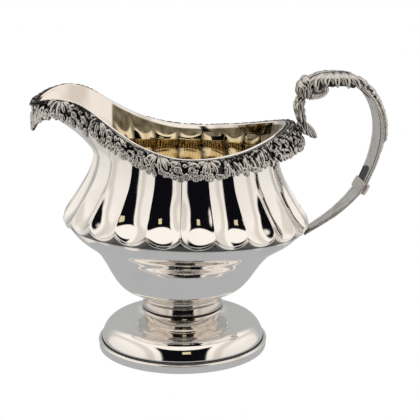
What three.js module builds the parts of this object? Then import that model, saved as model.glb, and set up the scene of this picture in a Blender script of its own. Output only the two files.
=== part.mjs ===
// Silver cream jug: an oval fluted bowl with a long lip on a round pedestal foot, a cast leafy border
// soldered round the rim in ten lengths, and a leaf-capped scroll handle at the back.
//
// Millimetres. +Z is up, the lip points along -X and the handle along +X. The origin is under the middle
// of the jug, on the plane it stands on. Nothing moves: every joint on the real jug is soldered, so
// neighbours keep a hair's gap.

import * as THREE from "three";

// ---- driving dimensions -------------------------------------------------------------------------

const gap = 0.3; // left between two soldered pieces
const footX = -12; // the foot's axis, measured from the middle of the jug's length

const foot = {
  radius: 36,
  bandHeight: 4,
  bandWidth: 2.8,
  sheet: 1.2,
  crestRadius: 26,
  crestHeight: 11.7,
  wellRadius: 19.3, // where the dome dips to meet the trumpet
  wellHeight: 9.3,
  stemRadius: 15.5,
  flangeRadius: 17.3,
  flangeHeight: 17,
  flangeThickness: 1.2,
  drumRadius: 16.4,
  drumTop: 22.2,
};

const bowl = {
  bottom: 22.5, // height of the seam between the bowl and the neck drum
  wall: 1.2,
  leanBack: 0.04, // drop per millimetre towards the handle, above the neck
  shiftBack: 1.9, // how far the leaning bowl stands behind the foot's axis
  leanStart: 24,
  leanEnd: 60,
  flutes: 23,
  columnsPerFlute: 4,
  firstCusp: -94.2, // degrees round the oval from the handle side
  fluteDepth: 1.5,
  cuspHeight: 58.6, // the scalloped line under the flutes, at its points
  lobeHeight: 55.5, // and at the bottom of its lobes
  ledge: 1.4, // how far the scalloped edge stands out
  throatHeight: 84,
};

// Half-length of the oval bowl at each height.
const bowlHalfLength = [
  [22.5, 17.3],
  [24.5, 21.9],
  [27, 26.6],
  [30, 29.2],
  [34, 31.2],
  [38, 33.4],
  [43, 37.4],
  [48, 44.7],
  [53, 49.4],
  [55.5, 50.3],
  [58, 49.9],
  [62, 48.4],
  [66, 46.2],
  [70, 43.8],
  [75, 41],
  [80, 39.3],
  [84, 38.6],
];

// Half-width over half-length at each height: round at the neck, oval from the belly up.
const bowlOval = [
  [22.5, 1],
  [27, 0.985],
  [29, 0.95],
  [31, 0.913],
  [34, 0.872],
  [37.5, 0.84],
  [40, 0.842],
  [43, 0.848],
  [46, 0.816],
  [50, 0.8],
  [53, 0.779],
  [55.5, 0.787],
  [58, 0.786],
  [62, 0.767],
  [66, 0.764],
  [70, 0.776],
  [84, 0.83],
];

// The inner edge of the rim on the right side, from the tip of the lip to the handle, measured from the
// foot's axis: [x, half-width, height, how far the cast border reaches out, how far it hangs down].
const rimStations = [
  [-59.3, 0, 105, 3.6, 10],
  [-58.2, 6, 106.4, 4, 9.5],
  [-53, 13.2, 109.2, 5.5, 7.5],
  [-46, 18.3, 110.1, 6, 7],
  [-38, 21.9, 107.6, 5.5, 8.5],
  [-28, 27, 100.8, 6, 6.8],
  [-17, 32.5, 94.2, 6.8, 6.6],
  [-4, 35.4, 89.8, 7, 7],
  [9, 33.6, 88.9, 7.2, 6.8],
  [22, 27.9, 90.2, 7.6, 7],
  [33, 18.2, 92.8, 8.6, 8],
  [40, 8.5, 95.4, 9.4, 8.8],
  [42.3, 0, 96.6, 9.7, 9],
];

// Lengths of border, as fractions of the way round the rim, from the tip of the lip past the right side.
// Right is the side on the right of someone who looks from the lip to the handle.
const borderLengths = [
  ["border_lip_tip", -0.055, 0.055],
  ["border_lip_side_right", 0.055, 0.15],
  ["border_throat_right", 0.15, 0.245],
  ["border_side_front_right", 0.245, 0.345],
  ["border_side_back_right", 0.345, 0.445],
  ["border_back", 0.445, 0.555],
  ["border_side_back_left", 0.555, 0.655],
  ["border_side_front_left", 0.655, 0.755],
  ["border_throat_left", 0.755, 0.85],
  ["border_lip_side_left", 0.85, 0.945],
];
const borderLobes = 46; // leaf lobes round the whole border
const stationsPerLobe = 4;

const handle = {
  pivotX: 44, // the handle stands on the back of the rim, in a plane turned a little about this line
  turn: 4,
  strapThickness: 1.3,
  strapHalfWidth: 8.3,
  strapEndHalfWidth: 7,
  lowerThickness: 1.1,
  lowerHalfWidth: 6.4,
  lowerEndHalfWidth: 3.8,
  foliageThickness: 2.6,
  collarLength: 3.8,
  collarWall: 1,
};

// Centre line of the strap's inner face in the handle's plane, [x from the foot's axis, height]: over the
// top of the handle, down to the collar, and on down to the bowl.
const strapPath = [
  [61.5, 111.6],
  [67, 112.7],
  [72, 111.6],
  [76, 108.8],
  [79.2, 104.6],
  [81.4, 99.2],
  [82.3, 93],
  [81.8, 87],
  [80.3, 80.6],
  [78.4, 75.6],
  [76.2, 70.4],
];
const lowerPath = [
  [76, 70],
  [72.6, 65.6],
  [68.4, 61.3],
  [64.2, 57.7],
  [59.7, 54.6],
  [56, 52.2],
  [52.6, 50],
];

// ---- finishes -----------------------------------------------------------------------------------

const silver = { color: 0xd8d5cf, roughness: 0.12, metalness: 1 };
const castSilver = { color: 0x9d978c, roughness: 0.32, metalness: 1 };
const strapSilver = { color: 0xa7a39b, roughness: 0.28, metalness: 1 };

// ---- small helpers ------------------------------------------------------------------------------

const clamp01 = (v) => Math.min(1, Math.max(0, v));
const smooth = (v) => clamp01(v) ** 2 * (3 - 2 * clamp01(v));
const radians = THREE.MathUtils.degToRad;

// Smooth value at x from a short list of [x, value] stations.
function interpolate(stations, x) {
  const last = stations.length - 1;
  let i = 0;
  while (i < last - 1 && x > stations[i + 1][0]) i++;
  const slope = (k) => {
    const a = stations[Math.max(k - 1, 0)];
    const b = stations[Math.min(k + 1, last)];
    return (b[1] - a[1]) / (b[0] - a[0]);
  };
  const [x0, y0] = stations[i];
  const [x1, y1] = stations[i + 1];
  const span = x1 - x0;
  const t = clamp01((x - x0) / span);
  const t2 = t * t;
  const t3 = t2 * t;
  return (
    y0 * (2 * t3 - 3 * t2 + 1) +
    slope(i) * span * (t3 - 2 * t2 + t) +
    y1 * (3 * t2 - 2 * t3) +
    slope(i + 1) * span * (t3 - t2)
  );
}

// One closed solid through closed rings that all have the same number of points, with a fan over each end.
function skin(rings) {
  const count = rings[0].length;
  const middle = (ring) => {
    const sum = ring.reduce((total, p) => total.add(p), new THREE.Vector3());
    return sum.divideScalar(count);
  };
  const points = [...rings.flat(), middle(rings[0]), middle(rings.at(-1))];
  const index = [];
  for (let r = 0; r < rings.length - 1; r++) {
    for (let i = 0; i < count; i++) {
      const a = r * count + i;
      const b = r * count + ((i + 1) % count);
      index.push(a, b, b + count, a, b + count, a + count);
    }
  }
  const firstMiddle = rings.length * count;
  const lastRing = firstMiddle - count;
  for (let i = 0; i < count; i++) {
    const next = (i + 1) % count;
    index.push(firstMiddle, next, i);
    index.push(firstMiddle + 1, lastRing + i, lastRing + next);
  }
  let volume = 0;
  const triple = new THREE.Vector3();
  for (let k = 0; k < index.length; k += 3) {
    triple.crossVectors(points[index[k]], points[index[k + 1]]);
    volume += triple.dot(points[index[k + 2]]);
  }
  if (volume < 0) index.reverse();
  const geometry = new THREE.BufferGeometry().setFromPoints(points);
  geometry.setIndex(index);
  geometry.computeVertexNormals();
  return geometry;
}

// A turned piece from its outline [radius, height]. The outline closes on itself or ends on the axis.
function turned(outline, segments = 48) {
  const points = outline.map(([r, z]) => new THREE.Vector2(r, z));
  return new THREE.LatheGeometry(points, segments).rotateX(Math.PI / 2);
}

const root = new THREE.Group();
root.name = "cream_jug";
const footAxis = new THREE.Group();
footAxis.position.x = footX;
root.add(footAxis);
const handlePlane = new THREE.Group();
handlePlane.position.x = handle.pivotX;
handlePlane.rotation.z = radians(handle.turn);
footAxis.add(handlePlane);

function add(parent, name, geometry, finish) {
  const mesh = new THREE.Mesh(geometry, new THREE.MeshStandardMaterial(finish));
  mesh.name = name;
  parent.add(mesh);
  return mesh;
}

// ---- pedestal foot ------------------------------------------------------------------------------

// The vertical band applied round the edge of the foot, with a bead near its top. Its flat underside is
// what rests.
function footBand() {
  const { radius: r, bandHeight: h, bandWidth: w } = foot;
  return turned([
    [r - w, 0],
    [r - 0.3, 0],
    [r - 0.1, 0.4],
    [r - 0.1, h - 1.4],
    [r + 0.15, h - 1],
    [r, h - 0.4],
    [r - 0.9, h - 0.1],
    [r - w, h - 0.1],
    [r - w, 0],
  ]);
}

// The domed foot, raised from sheet: it rises steeply to a round crest, then dips to the trumpet. It is
// hollow.
function footDome() {
  const { radius, bandHeight, crestRadius, crestHeight, wellRadius, wellHeight, sheet } = foot;
  const top = [
    [radius - 1.5, bandHeight + 0.3],
    [radius - 1.5, bandHeight + 1],
    [radius - 2.6, bandHeight + 2.6],
    [radius - 4, bandHeight + 4.5],
    [crestRadius + 4, crestHeight - 1.5],
    [crestRadius + 2, crestHeight - 0.4],
    [crestRadius, crestHeight],
    [crestRadius - 2.2, crestHeight - 0.5],
    [wellRadius + 2, wellHeight + 0.9],
    [wellRadius, wellHeight],
  ];
  const under = top.slice(2, -1).map(([r, z]) => [r - 0.5, z - sheet - 0.2]);
  return turned([
    ...top,
    [wellRadius, wellHeight - sheet],
    ...under.reverse(),
    [radius - 3, bandHeight + 0.3],
    top[0],
  ]);
}

// The trumpet between the dome and the neck flange, in one piece with the disc that closes its top.
function footTrumpet() {
  const { stemRadius: r, wellRadius, wellHeight, flangeHeight, sheet } = foot;
  const top = flangeHeight - gap;
  const outside = [
    [wellRadius - gap, wellHeight - sheet],
    [wellRadius - gap, wellHeight + 0.1],
    [r + 1.6, wellHeight + 0.8],
    [r + 0.1, wellHeight + 2],
    [r - 0.1, wellHeight + 3.4],
    [r + 0.4, top - 1.4],
    [r + 1.5, top],
  ];
  return turned([
    ...outside,
    [0, top],
    [0, top - sheet],
    [r - sheet, top - sheet],
    [r - sheet, wellHeight + 0.8],
    [wellRadius - 2 * sheet, wellHeight - sheet],
    outside[0],
  ]);
}

// The thin disc that stands out between the trumpet and the drum.
function neckFlange() {
  const { flangeRadius: r, flangeHeight: z, flangeThickness: t } = foot;
  return turned([
    [0, z],
    [r - 0.5, z],
    [r, z + t * 0.35],
    [r, z + t * 0.65],
    [r - 0.5, z + t],
    [0, z + t],
  ]);
}

// The short drum that carries the bowl, very slightly waisted.
function neckDrum() {
  const { drumRadius: r, flangeHeight, flangeThickness, drumTop } = foot;
  const low = flangeHeight + flangeThickness + gap;
  const middle = (low + drumTop) / 2;
  return turned([
    [0, low],
    [r + 0.2, low],
    [r - 0.25, middle - 0.6],
    [r - 0.25, middle + 0.6],
    [r + 0.1, drumTop],
    [0, drumTop],
  ]);
}

// ---- bowl ---------------------------------------------------------------------------------------

// The rim runs right round: the right side from the lip to the handle, then back along the left side.
const sideways = new THREE.Vector3(1, -1, 1);
const rimLeft = rimStations.map(([x, w, z]) => new THREE.Vector3(x, w, z));
const rimRight = rimLeft.map((p) => p.clone().multiply(sideways));
const rimLoop = [...rimRight, ...rimLeft.slice(1, -1).reverse()];
const rim = new THREE.CatmullRomCurve3(rimLoop, true, "catmullrom", 0.5);

// How far the border reaches out (x) and hangs down (y) at the same places.
const reliefSide = rimStations.map(([, , , reach, hang]) => new THREE.Vector3(reach, hang, 0));
const reliefLoop = [...reliefSide, ...reliefSide.slice(1, -1).reverse()];
const relief = new THREE.CatmullRomCurve3(reliefLoop, true, "catmullrom", 0.5);

// The rim's curve parameter in a direction seen from the foot's axis, by halving.
function rimParameterToward(angle) {
  const rightSide = angle < 0;
  const halvings = 30;
  let low = rightSide ? 0 : 0.5;
  let high = rightSide ? 0.5 : 1;
  for (let k = 0; k < halvings; k++) {
    const t = (low + high) / 2;
    const p = rim.getPoint(t);
    if (Math.atan2(p.y, p.x) < angle) low = t;
    else high = t;
  }
  return (low + high) / 2;
}

// A point of the bowl below the throat: height, direction round the oval, how far in from the outside.
function ovalPoint(height, angle, inward) {
  const lean = smooth((height - bowl.leanStart) / (bowl.leanEnd - bowl.leanStart));
  const a = interpolate(bowlHalfLength, height) - inward;
  const b = interpolate(bowlHalfLength, height) * interpolate(bowlOval, height) - inward;
  const x = bowl.shiftBack * lean + a * Math.cos(angle);
  return new THREE.Vector3(x, b * Math.sin(angle), height - bowl.leanBack * lean * x);
}

// Each flute is a shallow channel; its edges are sharp and stand at full radius.
const channel = (across) => bowl.fluteDepth * (1 - (2 * across - 1) ** 2);

// Height of the scalloped line across one flute.
function scallop(across) {
  return bowl.lobeHeight + (bowl.cuspHeight - bowl.lobeHeight) * Math.abs(2 * across - 1) ** 2.2;
}

// Between the throat and the rim the wall rises straight at first, then flares out to the rim.
function flarePoint(angle, across, up, inward) {
  const throat = ovalPoint(bowl.throatHeight, angle, inward + channel(across) * 0.6 * (1 - up));
  const direction = Math.atan2(throat.y, throat.x);
  const edge = rim.getPoint(rimParameterToward(direction));
  const outward = bowl.wall - inward;
  edge.x += outward * Math.cos(direction);
  edge.y += outward * Math.sin(direction);
  const spread = up ** 2;
  return new THREE.Vector3(
    throat.x + (edge.x - throat.x) * spread,
    throat.y + (edge.y - throat.y) * spread,
    throat.z + (edge.z - throat.z) * up,
  );
}

// The bowl is one raised sheet: up the outside, over the rim and down the inside.
function bowlShell() {
  const columns = bowl.flutes * bowl.columnsPerFlute;
  const angles = [];
  const across = [];
  for (let c = 0; c < columns; c++) {
    angles.push(radians(bowl.firstCusp + (360 * c) / columns));
    across.push((c % bowl.columnsPerFlute) / bowl.columnsPerFlute);
  }
  const wrapped = (angle) => Math.atan2(Math.sin(angle), Math.cos(angle));
  const ring = (pointOf) => angles.map((angle, c) => pointOf(wrapped(angle), across[c]));

  const belly = [bowl.bottom, 24.5, 27, 30, 34, 38, 43, 48, 52];
  const fluteRise = [0.12, 0.35, 0.65, 1];
  const flare = [0.3, 0.6, 0.85, 1];
  const rings = [];
  for (const h of belly) rings.push(ring((angle) => ovalPoint(h, angle, 0)));
  rings.push(ring((angle, f) => ovalPoint(scallop(f) - 0.4, angle, 0.2)));
  rings.push(ring((angle, f) => ovalPoint(scallop(f), angle, -bowl.ledge)));
  for (const up of fluteRise) {
    rings.push(ring((angle, f) => {
      const h = scallop(f) + (bowl.throatHeight - scallop(f)) * up;
      return ovalPoint(h, angle, channel(f) * (1 - 0.4 * up));
    }));
  }
  for (const up of flare) rings.push(ring((angle, f) => flarePoint(angle, f, up, 0)));
  for (const up of [...flare].reverse()) {
    rings.push(ring((angle, f) => flarePoint(angle, f, up, bowl.wall)));
  }
  for (const up of [...fluteRise].reverse()) {
    rings.push(ring((angle, f) => {
      const h = scallop(f) + (bowl.throatHeight - scallop(f)) * up;
      return ovalPoint(h, angle, bowl.wall + channel(f) * (1 - 0.4 * up));
    }));
  }
  const floorUp = new THREE.Vector3(0, 0, bowl.wall);
  for (const h of belly.slice(2).reverse()) {
    rings.push(ring((angle) => ovalPoint(h, angle, bowl.wall).add(floorUp)));
  }
  return skin(rings);
}

// ---- cast border --------------------------------------------------------------------------------

// Section of the border at one place: [share of the reach, share of the hang], the first two against
// the rim.
const borderSection = [
  [0, -0.28],
  [0, 0.06],
  [0.3, 0.16],
  [0.62, -0.14],
  [0.88, -0.55],
  [1, -1],
  [0.8, -0.98],
  [0.55, -0.5],
];

function borderRing(fraction) {
  const t = rim.getUtoTmapping(THREE.MathUtils.euclideanModulo(fraction, 1));
  const place = rim.getPoint(t);
  const { x: reach, y: hang } = relief.getPoint(t);
  const along = rim.getTangent(t).setZ(0).normalize();
  const out = new THREE.Vector3(along.y, -along.x, 0);
  const lobe = Math.abs(Math.sin(Math.PI * borderLobes * fraction)) ** 0.7;
  const start = bowl.wall + gap;
  return borderSection.map(([o, d]) => {
    const edge = 1 + (o > 0.7 ? 0.14 * (lobe - 1) : 0);
    return place
      .clone()
      .addScaledVector(out, start + (reach - start) * o * edge)
      .setZ(place.z + hang * d * edge);
  });
}

function borderLength(from, to) {
  const room = gap / 2 / rim.getLength();
  const steps = Math.round((to - from) * borderLobes * stationsPerLobe);
  const rings = [];
  for (let k = 0; k <= steps; k++) {
    rings.push(borderRing(THREE.MathUtils.lerp(from + room, to - room, k / steps)));
  }
  return skin(rings);
}

// ---- handle -------------------------------------------------------------------------------------

// A smooth path in the handle's plane, from points [x from the foot's axis, height].
function planePath(points) {
  return new THREE.CatmullRomCurve3(points.map(([x, z]) => new THREE.Vector3(x - handle.pivotX, 0, z)));
}

// Sweeps a section along a path in the handle's plane. sectionAt gives [sideways, outward] points at a
// fraction of the way along.
function sweep(path, steps, sectionAt) {
  const rings = [];
  for (let k = 0; k <= steps; k++) {
    const fraction = k / steps;
    const place = path.getPointAt(fraction);
    const along = path.getTangentAt(fraction);
    const out = new THREE.Vector3(-along.z, 0, along.x);
    rings.push(sectionAt(fraction).map(([side, n]) => {
      const p = place.clone().addScaledVector(out, n);
      p.y += side;
      return p;
    }));
  }
  return skin(rings);
}

// A flat strap with softened outer corners.
function strapSection(halfWidth, low, high) {
  return [
    [-halfWidth, low],
    [halfWidth, low],
    [halfWidth, low + (high - low) * 0.5],
    [halfWidth - 0.5, high],
    [-halfWidth + 0.5, high],
    [-halfWidth, low + (high - low) * 0.5],
  ];
}

// A leaf lying over a strap: an arched plate whose edges hang down beside it.
function leafSection(halfWidth, low, high, droop) {
  const middle = (low + high) / 2;
  return [
    [-halfWidth, low - droop],
    [-halfWidth * 0.86, low - droop],
    [-halfWidth * 0.5, low],
    [0, low],
    [halfWidth * 0.5, low],
    [halfWidth * 0.86, low - droop],
    [halfWidth, low - droop],
    [halfWidth * 0.92, middle - droop * 0.3],
    [halfWidth * 0.5, high - 0.4],
    [0, high],
    [-halfWidth * 0.5, high - 0.4],
    [-halfWidth * 0.92, middle - droop * 0.3],
  ];
}

// Goes from 1 at the middle of each lobe to 1 - depth between two lobes.
function lobed(fraction, lobes, depth) {
  const round = Math.abs(Math.sin(Math.PI * lobes * fraction)) ** 0.7;
  return 1 - depth * (1 - round);
}

// Plain strap from the crown down to the collar; its flat inner face shows inside the loop.
function upperStrap() {
  const { strapHalfWidth: w0, strapEndHalfWidth: w1, strapThickness: t } = handle;
  const hidden = 4.6; // half-width under the crown leaf
  return sweep(planePath(strapPath), 28, (f) => {
    const widened = hidden + (w0 - hidden) * smooth((f - 0.12) / 0.2);
    return strapSection(widened + (w1 - w0) * smooth((f - 0.55) / 0.35), 0, t);
  });
}

// Plain strap from the collar down to the bowl, tapering.
function lowerStrap() {
  const { lowerHalfWidth: w0, lowerEndHalfWidth: w1, lowerThickness: t } = handle;
  return sweep(planePath(lowerPath), 16, (f) => strapSection(w0 + (w1 - w0) * f, 0, t));
}

// Cast leaves along the outer face of the strap, ending in a plain pointed leaf.
function outerFoliage() {
  const { strapHalfWidth: w, strapThickness: t, foliageThickness: thick } = handle;
  const path = planePath([[78.2, 106.2], ...strapPath.slice(4, 8), [81, 83.4]]);
  return sweep(path, 32, (f) => {
    const taper = 1 - 0.85 * smooth((f - 0.76) / 0.24);
    const width = (w + 0.2) * taper * lobed(f, 6, 0.12);
    const swell = 1 + 0.35 * smooth((f - 0.62) / 0.2) - 0.85 * smooth((f - 0.86) / 0.14);
    const height = thick * swell * lobed(f, 6, 0.2);
    return leafSection(width, t + gap, t + gap + height, 0);
  });
}

// The round bud that covers the joint between the crown leaf and the outer foliage.
function jointBud() {
  const path = planePath([[73.6, 110.9], [75.8, 109.1], [77.6, 107]]);
  const low = handle.strapThickness + gap;
  return sweep(path, 10, (f) => {
    const size = Math.sin(Math.PI * (0.14 + 0.72 * f));
    return leafSection(7.6 * size, low, low + 3.1 * size, 0);
  });
}

// Acanthus leaf over the top of the handle, with cut edges that hang over the strap.
function crownLeaf() {
  const path = planePath([[54.8, 112.4], [57.8, 113.9], [62, 114.4], [67, 114.4], [72.6, 113]]);
  return sweep(path, 26, (f) => {
    const width = (5 + 3.4 * smooth(f / 0.4)) * lobed(f, 6, 0.16);
    const height = 4.5 - 0.9 * f;
    const droop = 2 * lobed(f, 6, 0.6) * (1 - smooth((f - 0.55) / 0.3));
    return leafSection(width, gap, height, droop);
  });
}

// The leaf-wrapped stem that rises from the back of the rim.
function stem() {
  const path = planePath([[51.2, 95], [50, 99], [49.4, 103.2], [49.8, 107.2]]);
  return sweep(path, 14, (f) => {
    const half = 1.7 + 0.5 * smooth(f / 0.3);
    const width = (3.8 + f) * lobed(f, 3, 0.14);
    return leafSection(width, -half, half, 0);
  });
}

// The knot of rolled leaf where the stem turns into the crown.
function knotCurl() {
  const path = planePath([[50.9, 107.9], [50.6, 110.4], [50.7, 112.8], [51.1, 114.9]]);
  return sweep(path, 14, (f) => {
    const width = (4.9 - 0.9 * f) * lobed(f, 3, 0.1);
    const half = 2.3 + 0.9 * Math.sin(Math.PI * f ** 0.8) - 1.2 * smooth((f - 0.6) / 0.4);
    return leafSection(width, -half, half, 0);
  });
}

// The bright volute inside the loop: a leaf end that leaves the stem, swings out and rolls up on itself.
function volute() {
  const path = planePath([
    [52.6, 105.9], [54.2, 106.9], [56.8, 107.6], [59.4, 108.9], [60.7, 110.9],
    [59.6, 112.6], [57.6, 112.7], [56.4, 111.4], [57, 110.1], [58.4, 110.3],
  ]);
  return sweep(path, 36, (f) => strapSection(3.8 - f, -0.4, 0.4));
}

// The leaf tip that points outwards from the foot of the stem.
function rootSpur() {
  const path = planePath([[52.5, 93.2], [54.6, 91.6], [56.6, 89.7]]);
  return sweep(path, 6, (f) => {
    const size = 1 - 0.75 * f;
    return leafSection(3.2 * size + 0.3, -1.1 * size - 0.1, 1.1 * size + 0.1, 0);
  });
}

// The band wrapped round the strap where its upper and lower lengths meet.
function collar() {
  const { strapEndHalfWidth, strapThickness, collarWall: wall, collarLength } = handle;
  const half = strapEndHalfWidth + gap;
  const rounded = (w, low, high, corner) => [
    [-w + corner, low], [w - corner, low], [w, low + corner], [w, high - corner],
    [w - corner, high], [-w + corner, high], [-w, high - corner], [-w, low + corner],
  ].map(([x, y]) => new THREE.Vector2(x, y));
  const high = strapThickness + gap;
  const shape = new THREE.Shape(rounded(half + wall, -gap - wall, high + 1.5 * wall, 0.6));
  shape.holes.push(new THREE.Path(rounded(half, -gap, high, 0.05)));
  const geometry = new THREE.ExtrudeGeometry(shape, { depth: collarLength, bevelEnabled: false });
  geometry.translate(0, 0, -collarLength / 2);
  return geometry;
}

// Puts the collar at the joint, square to the strap: its x runs sideways, its y away from the loop.
function placeCollar(mesh) {
  const [x0, z0] = strapPath.at(-2);
  const [x1, z1] = lowerPath[1];
  const along = new THREE.Vector3(x1 - x0, 0, z1 - z0).normalize();
  const out = new THREE.Vector3(-along.z, 0, along.x);
  const side = new THREE.Vector3().crossVectors(out, along);
  mesh.quaternion.setFromRotationMatrix(new THREE.Matrix4().makeBasis(side, out, along));
  mesh.position.set(lowerPath[0][0] - handle.pivotX, 0, lowerPath[0][1]);
}

// A small bead under the point of the outer foliage.
function tipBead() {
  return new THREE.SphereGeometry(0.9, 16, 10);
}

function placeBead(mesh) {
  const path = planePath(strapPath);
  const below = 0.79; // the way along the strap
  const place = path.getPointAt(below);
  const along = path.getTangentAt(below);
  const lift = handle.strapThickness + gap + 0.9;
  mesh.position.set(place.x - along.z * lift, 0, place.z + along.x * lift);
}

// The leaf-shaped end of the handle, lying along the underside of the bowl's shoulder.
function terminalLeaf() {
  const rings = [];
  const steps = 10;
  const top = 52.2;
  const drop = 13.7;
  for (let k = 0; k <= steps; k++) {
    const f = k / steps;
    const height = top - drop * f;
    const below = ovalPoint(height - 0.2, 0, 0);
    const above = ovalPoint(height + 0.2, 0, 0);
    const along = above.clone().sub(below).normalize();
    const out = new THREE.Vector3(along.z, 0, -along.x);
    const width = 0.5 + 3.6 * Math.sin(Math.PI * (0.35 + 0.62 * f)) ** 0.8;
    const sag = width ** 2 / 2 / interpolate(bowlHalfLength, height);
    const thick = 1.1 - 0.5 * f;
    const section = [
      [-width, -sag],
      [-width * 0.5, -sag * 0.25],
      [0, 0],
      [width * 0.5, -sag * 0.25],
      [width, -sag],
      [width * 0.5, thick - sag * 0.25],
      [0, thick + 0.2],
      [-width * 0.5, thick - sag * 0.25],
    ];
    rings.push(section.map(([side, n]) => {
      const p = ovalPoint(height, 0, 0).addScaledVector(out, n + gap + 0.1);
      p.y += side;
      return p;
    }));
  }
  return skin(rings);
}

// ---- assembly -----------------------------------------------------------------------------------

add(footAxis, "foot_rim_band", footBand(), silver);
add(footAxis, "foot_dome", footDome(), silver);
add(footAxis, "foot_trumpet", footTrumpet(), silver);
add(footAxis, "neck_flange", neckFlange(), silver);
add(footAxis, "neck_drum", neckDrum(), silver);
add(footAxis, "bowl", bowlShell(), silver);
for (const [name, from, to] of borderLengths) {
  add(footAxis, name, borderLength(from, to), castSilver);
}
add(handlePlane, "handle_stem", stem(), castSilver);
add(handlePlane, "handle_root_spur", rootSpur(), castSilver);
add(handlePlane, "handle_knot_curl", knotCurl(), castSilver);
add(handlePlane, "handle_volute", volute(), silver);
add(handlePlane, "handle_crown_leaf", crownLeaf(), castSilver);
add(handlePlane, "handle_joint_bud", jointBud(), castSilver);
add(handlePlane, "handle_outer_foliage", outerFoliage(), castSilver);
placeBead(add(handlePlane, "handle_tip_bead", tipBead(), castSilver));
add(handlePlane, "handle_strap_upper", upperStrap(), strapSilver);
placeCollar(add(handlePlane, "handle_collar", collar(), strapSilver));
add(handlePlane, "handle_strap_lower", lowerStrap(), strapSilver);
add(footAxis, "handle_terminal_leaf", terminalLeaf(), strapSilver);

export default root;
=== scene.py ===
"""Silver cream jug: fine surfaces, finishes, light and camera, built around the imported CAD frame.

Shapes are worked out in millimetres from the foot's axis and turned into metres in the part's frame:
+Z up, the lip along -X, the handle along +X. The right side is -Y.
"""

import math

import bpy
import numpy as np
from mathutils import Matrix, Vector


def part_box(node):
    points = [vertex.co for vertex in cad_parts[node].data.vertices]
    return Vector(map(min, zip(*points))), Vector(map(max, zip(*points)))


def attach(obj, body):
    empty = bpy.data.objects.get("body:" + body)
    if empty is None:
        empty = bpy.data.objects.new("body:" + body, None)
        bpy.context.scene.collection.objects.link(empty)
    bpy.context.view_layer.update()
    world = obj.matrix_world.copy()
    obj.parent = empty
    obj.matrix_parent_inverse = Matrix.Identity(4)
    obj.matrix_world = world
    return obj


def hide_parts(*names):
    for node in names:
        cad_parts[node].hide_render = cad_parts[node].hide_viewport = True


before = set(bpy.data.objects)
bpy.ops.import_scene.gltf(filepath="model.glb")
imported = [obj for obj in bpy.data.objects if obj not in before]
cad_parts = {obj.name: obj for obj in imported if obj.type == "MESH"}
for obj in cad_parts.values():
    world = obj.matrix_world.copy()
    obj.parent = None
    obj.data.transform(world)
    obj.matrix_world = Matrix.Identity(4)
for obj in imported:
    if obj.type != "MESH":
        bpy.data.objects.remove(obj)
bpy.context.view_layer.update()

# ---- driving dimensions ----

MM = 0.001
foot_low, foot_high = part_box("foot_rim_band")
FOOT_X = (foot_low.x + foot_high.x) / 2 / MM
FOOT_RADIUS = (foot_high.x - foot_low.x) / 2 / MM - 0.15  # without the bead
DOME_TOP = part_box("foot_dome")[1].z / MM
FLANGE_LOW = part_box("neck_flange")[0].z / MM
BOWL_BOTTOM = 23.9

WALL = 1.2
FLUTES = 23
FIRST_CUSP = -94.2  # degrees round the oval from the handle side
PER_FLUTE = 28  # columns of points across a flute, closer together at its edges
FLUTE_DEPTH = 1.2
FLUTE_DEPTH_LOW = 1.9  # just above the rounded lower end
SCOOP = 8.5  # length of the rounded lower end of a flute
CUSP_HEIGHT = 58.6
LOBE_HEIGHT = 55.5
LEDGE = 1.4
THROAT_HEIGHT = 84
LEAN_BACK = 0.04
SHIFT_BACK = 1.9
LEAN_START = 24
LEAN_END = 60
GILT_BELOW_RIM = 0.9
GILT_FRONT = -29.5  # the spout in front of this x is plain silver

# The bowl's outside: height and half its length there; then height and width as a share of length.
HALF_LENGTH = [
    (23.9, 17), (24.4, 19.2), (25.3, 21.6), (26.5, 23.9), (28, 26.2), (29.5, 27.7), (31, 28.9), (34, 30.9),
    (38, 33.4), (43, 37.4), (48, 44.7), (53, 49.4), (55.5, 50.3), (58, 49.9), (62, 48.4), (66, 46.2),
    (70, 43.8), (75, 41), (80, 39.3), (84, 38.6),
]
OVAL = [
    (23.9, 1), (27, 0.985), (29, 0.95), (31, 0.913), (34, 0.872), (37.5, 0.84), (40, 0.842), (43, 0.848),
    (46, 0.816), (50, 0.8), (53, 0.779), (55.5, 0.787), (58, 0.786), (62, 0.767), (66, 0.764),
    (70, 0.776), (84, 0.83),
]

# Inner edge of the rim: x, half-width, height, how far the border reaches out, how far it hangs down.
RIM = [
    (-59.3, 0, 105, 2.8, 10), (-58.2, 6, 106.4, 3.4, 9.5), (-53, 13.2, 109.2, 5.5, 7.5),
    (-46, 18.3, 110.1, 6, 7), (-38, 21.9, 107.6, 5.5, 8.5), (-28, 27, 100.8, 6, 6.8),
    (-17, 32.5, 94.2, 6.8, 6.6), (-4, 35.4, 89.8, 7, 7), (9, 33.6, 88.9, 7.2, 6.8),
    (22, 27.9, 90.2, 7.6, 7), (33, 18.2, 92.8, 8.6, 8), (40, 8.5, 95.4, 9.4, 8.8),
    (42.3, 0, 96.6, 9.7, 9),
]

# ---- helpers ----


def smooth(v):
    v = np.clip(v, 0, 1)
    return v * v * (3 - 2 * v)


def lerp(a, b, t):
    return a + (b - a) * t


def hermite(a, slope_a, b, slope_b, t):
    """From a to b as t goes from 0 to 1, leaving and arriving with the given slopes."""
    return (
        a * (2 * t**3 - 3 * t**2 + 1)
        + slope_a * (t**3 - 2 * t**2 + t)
        + b * (3 * t**2 - 2 * t**3)
        + slope_b * (t**3 - t**2)
    )


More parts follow.
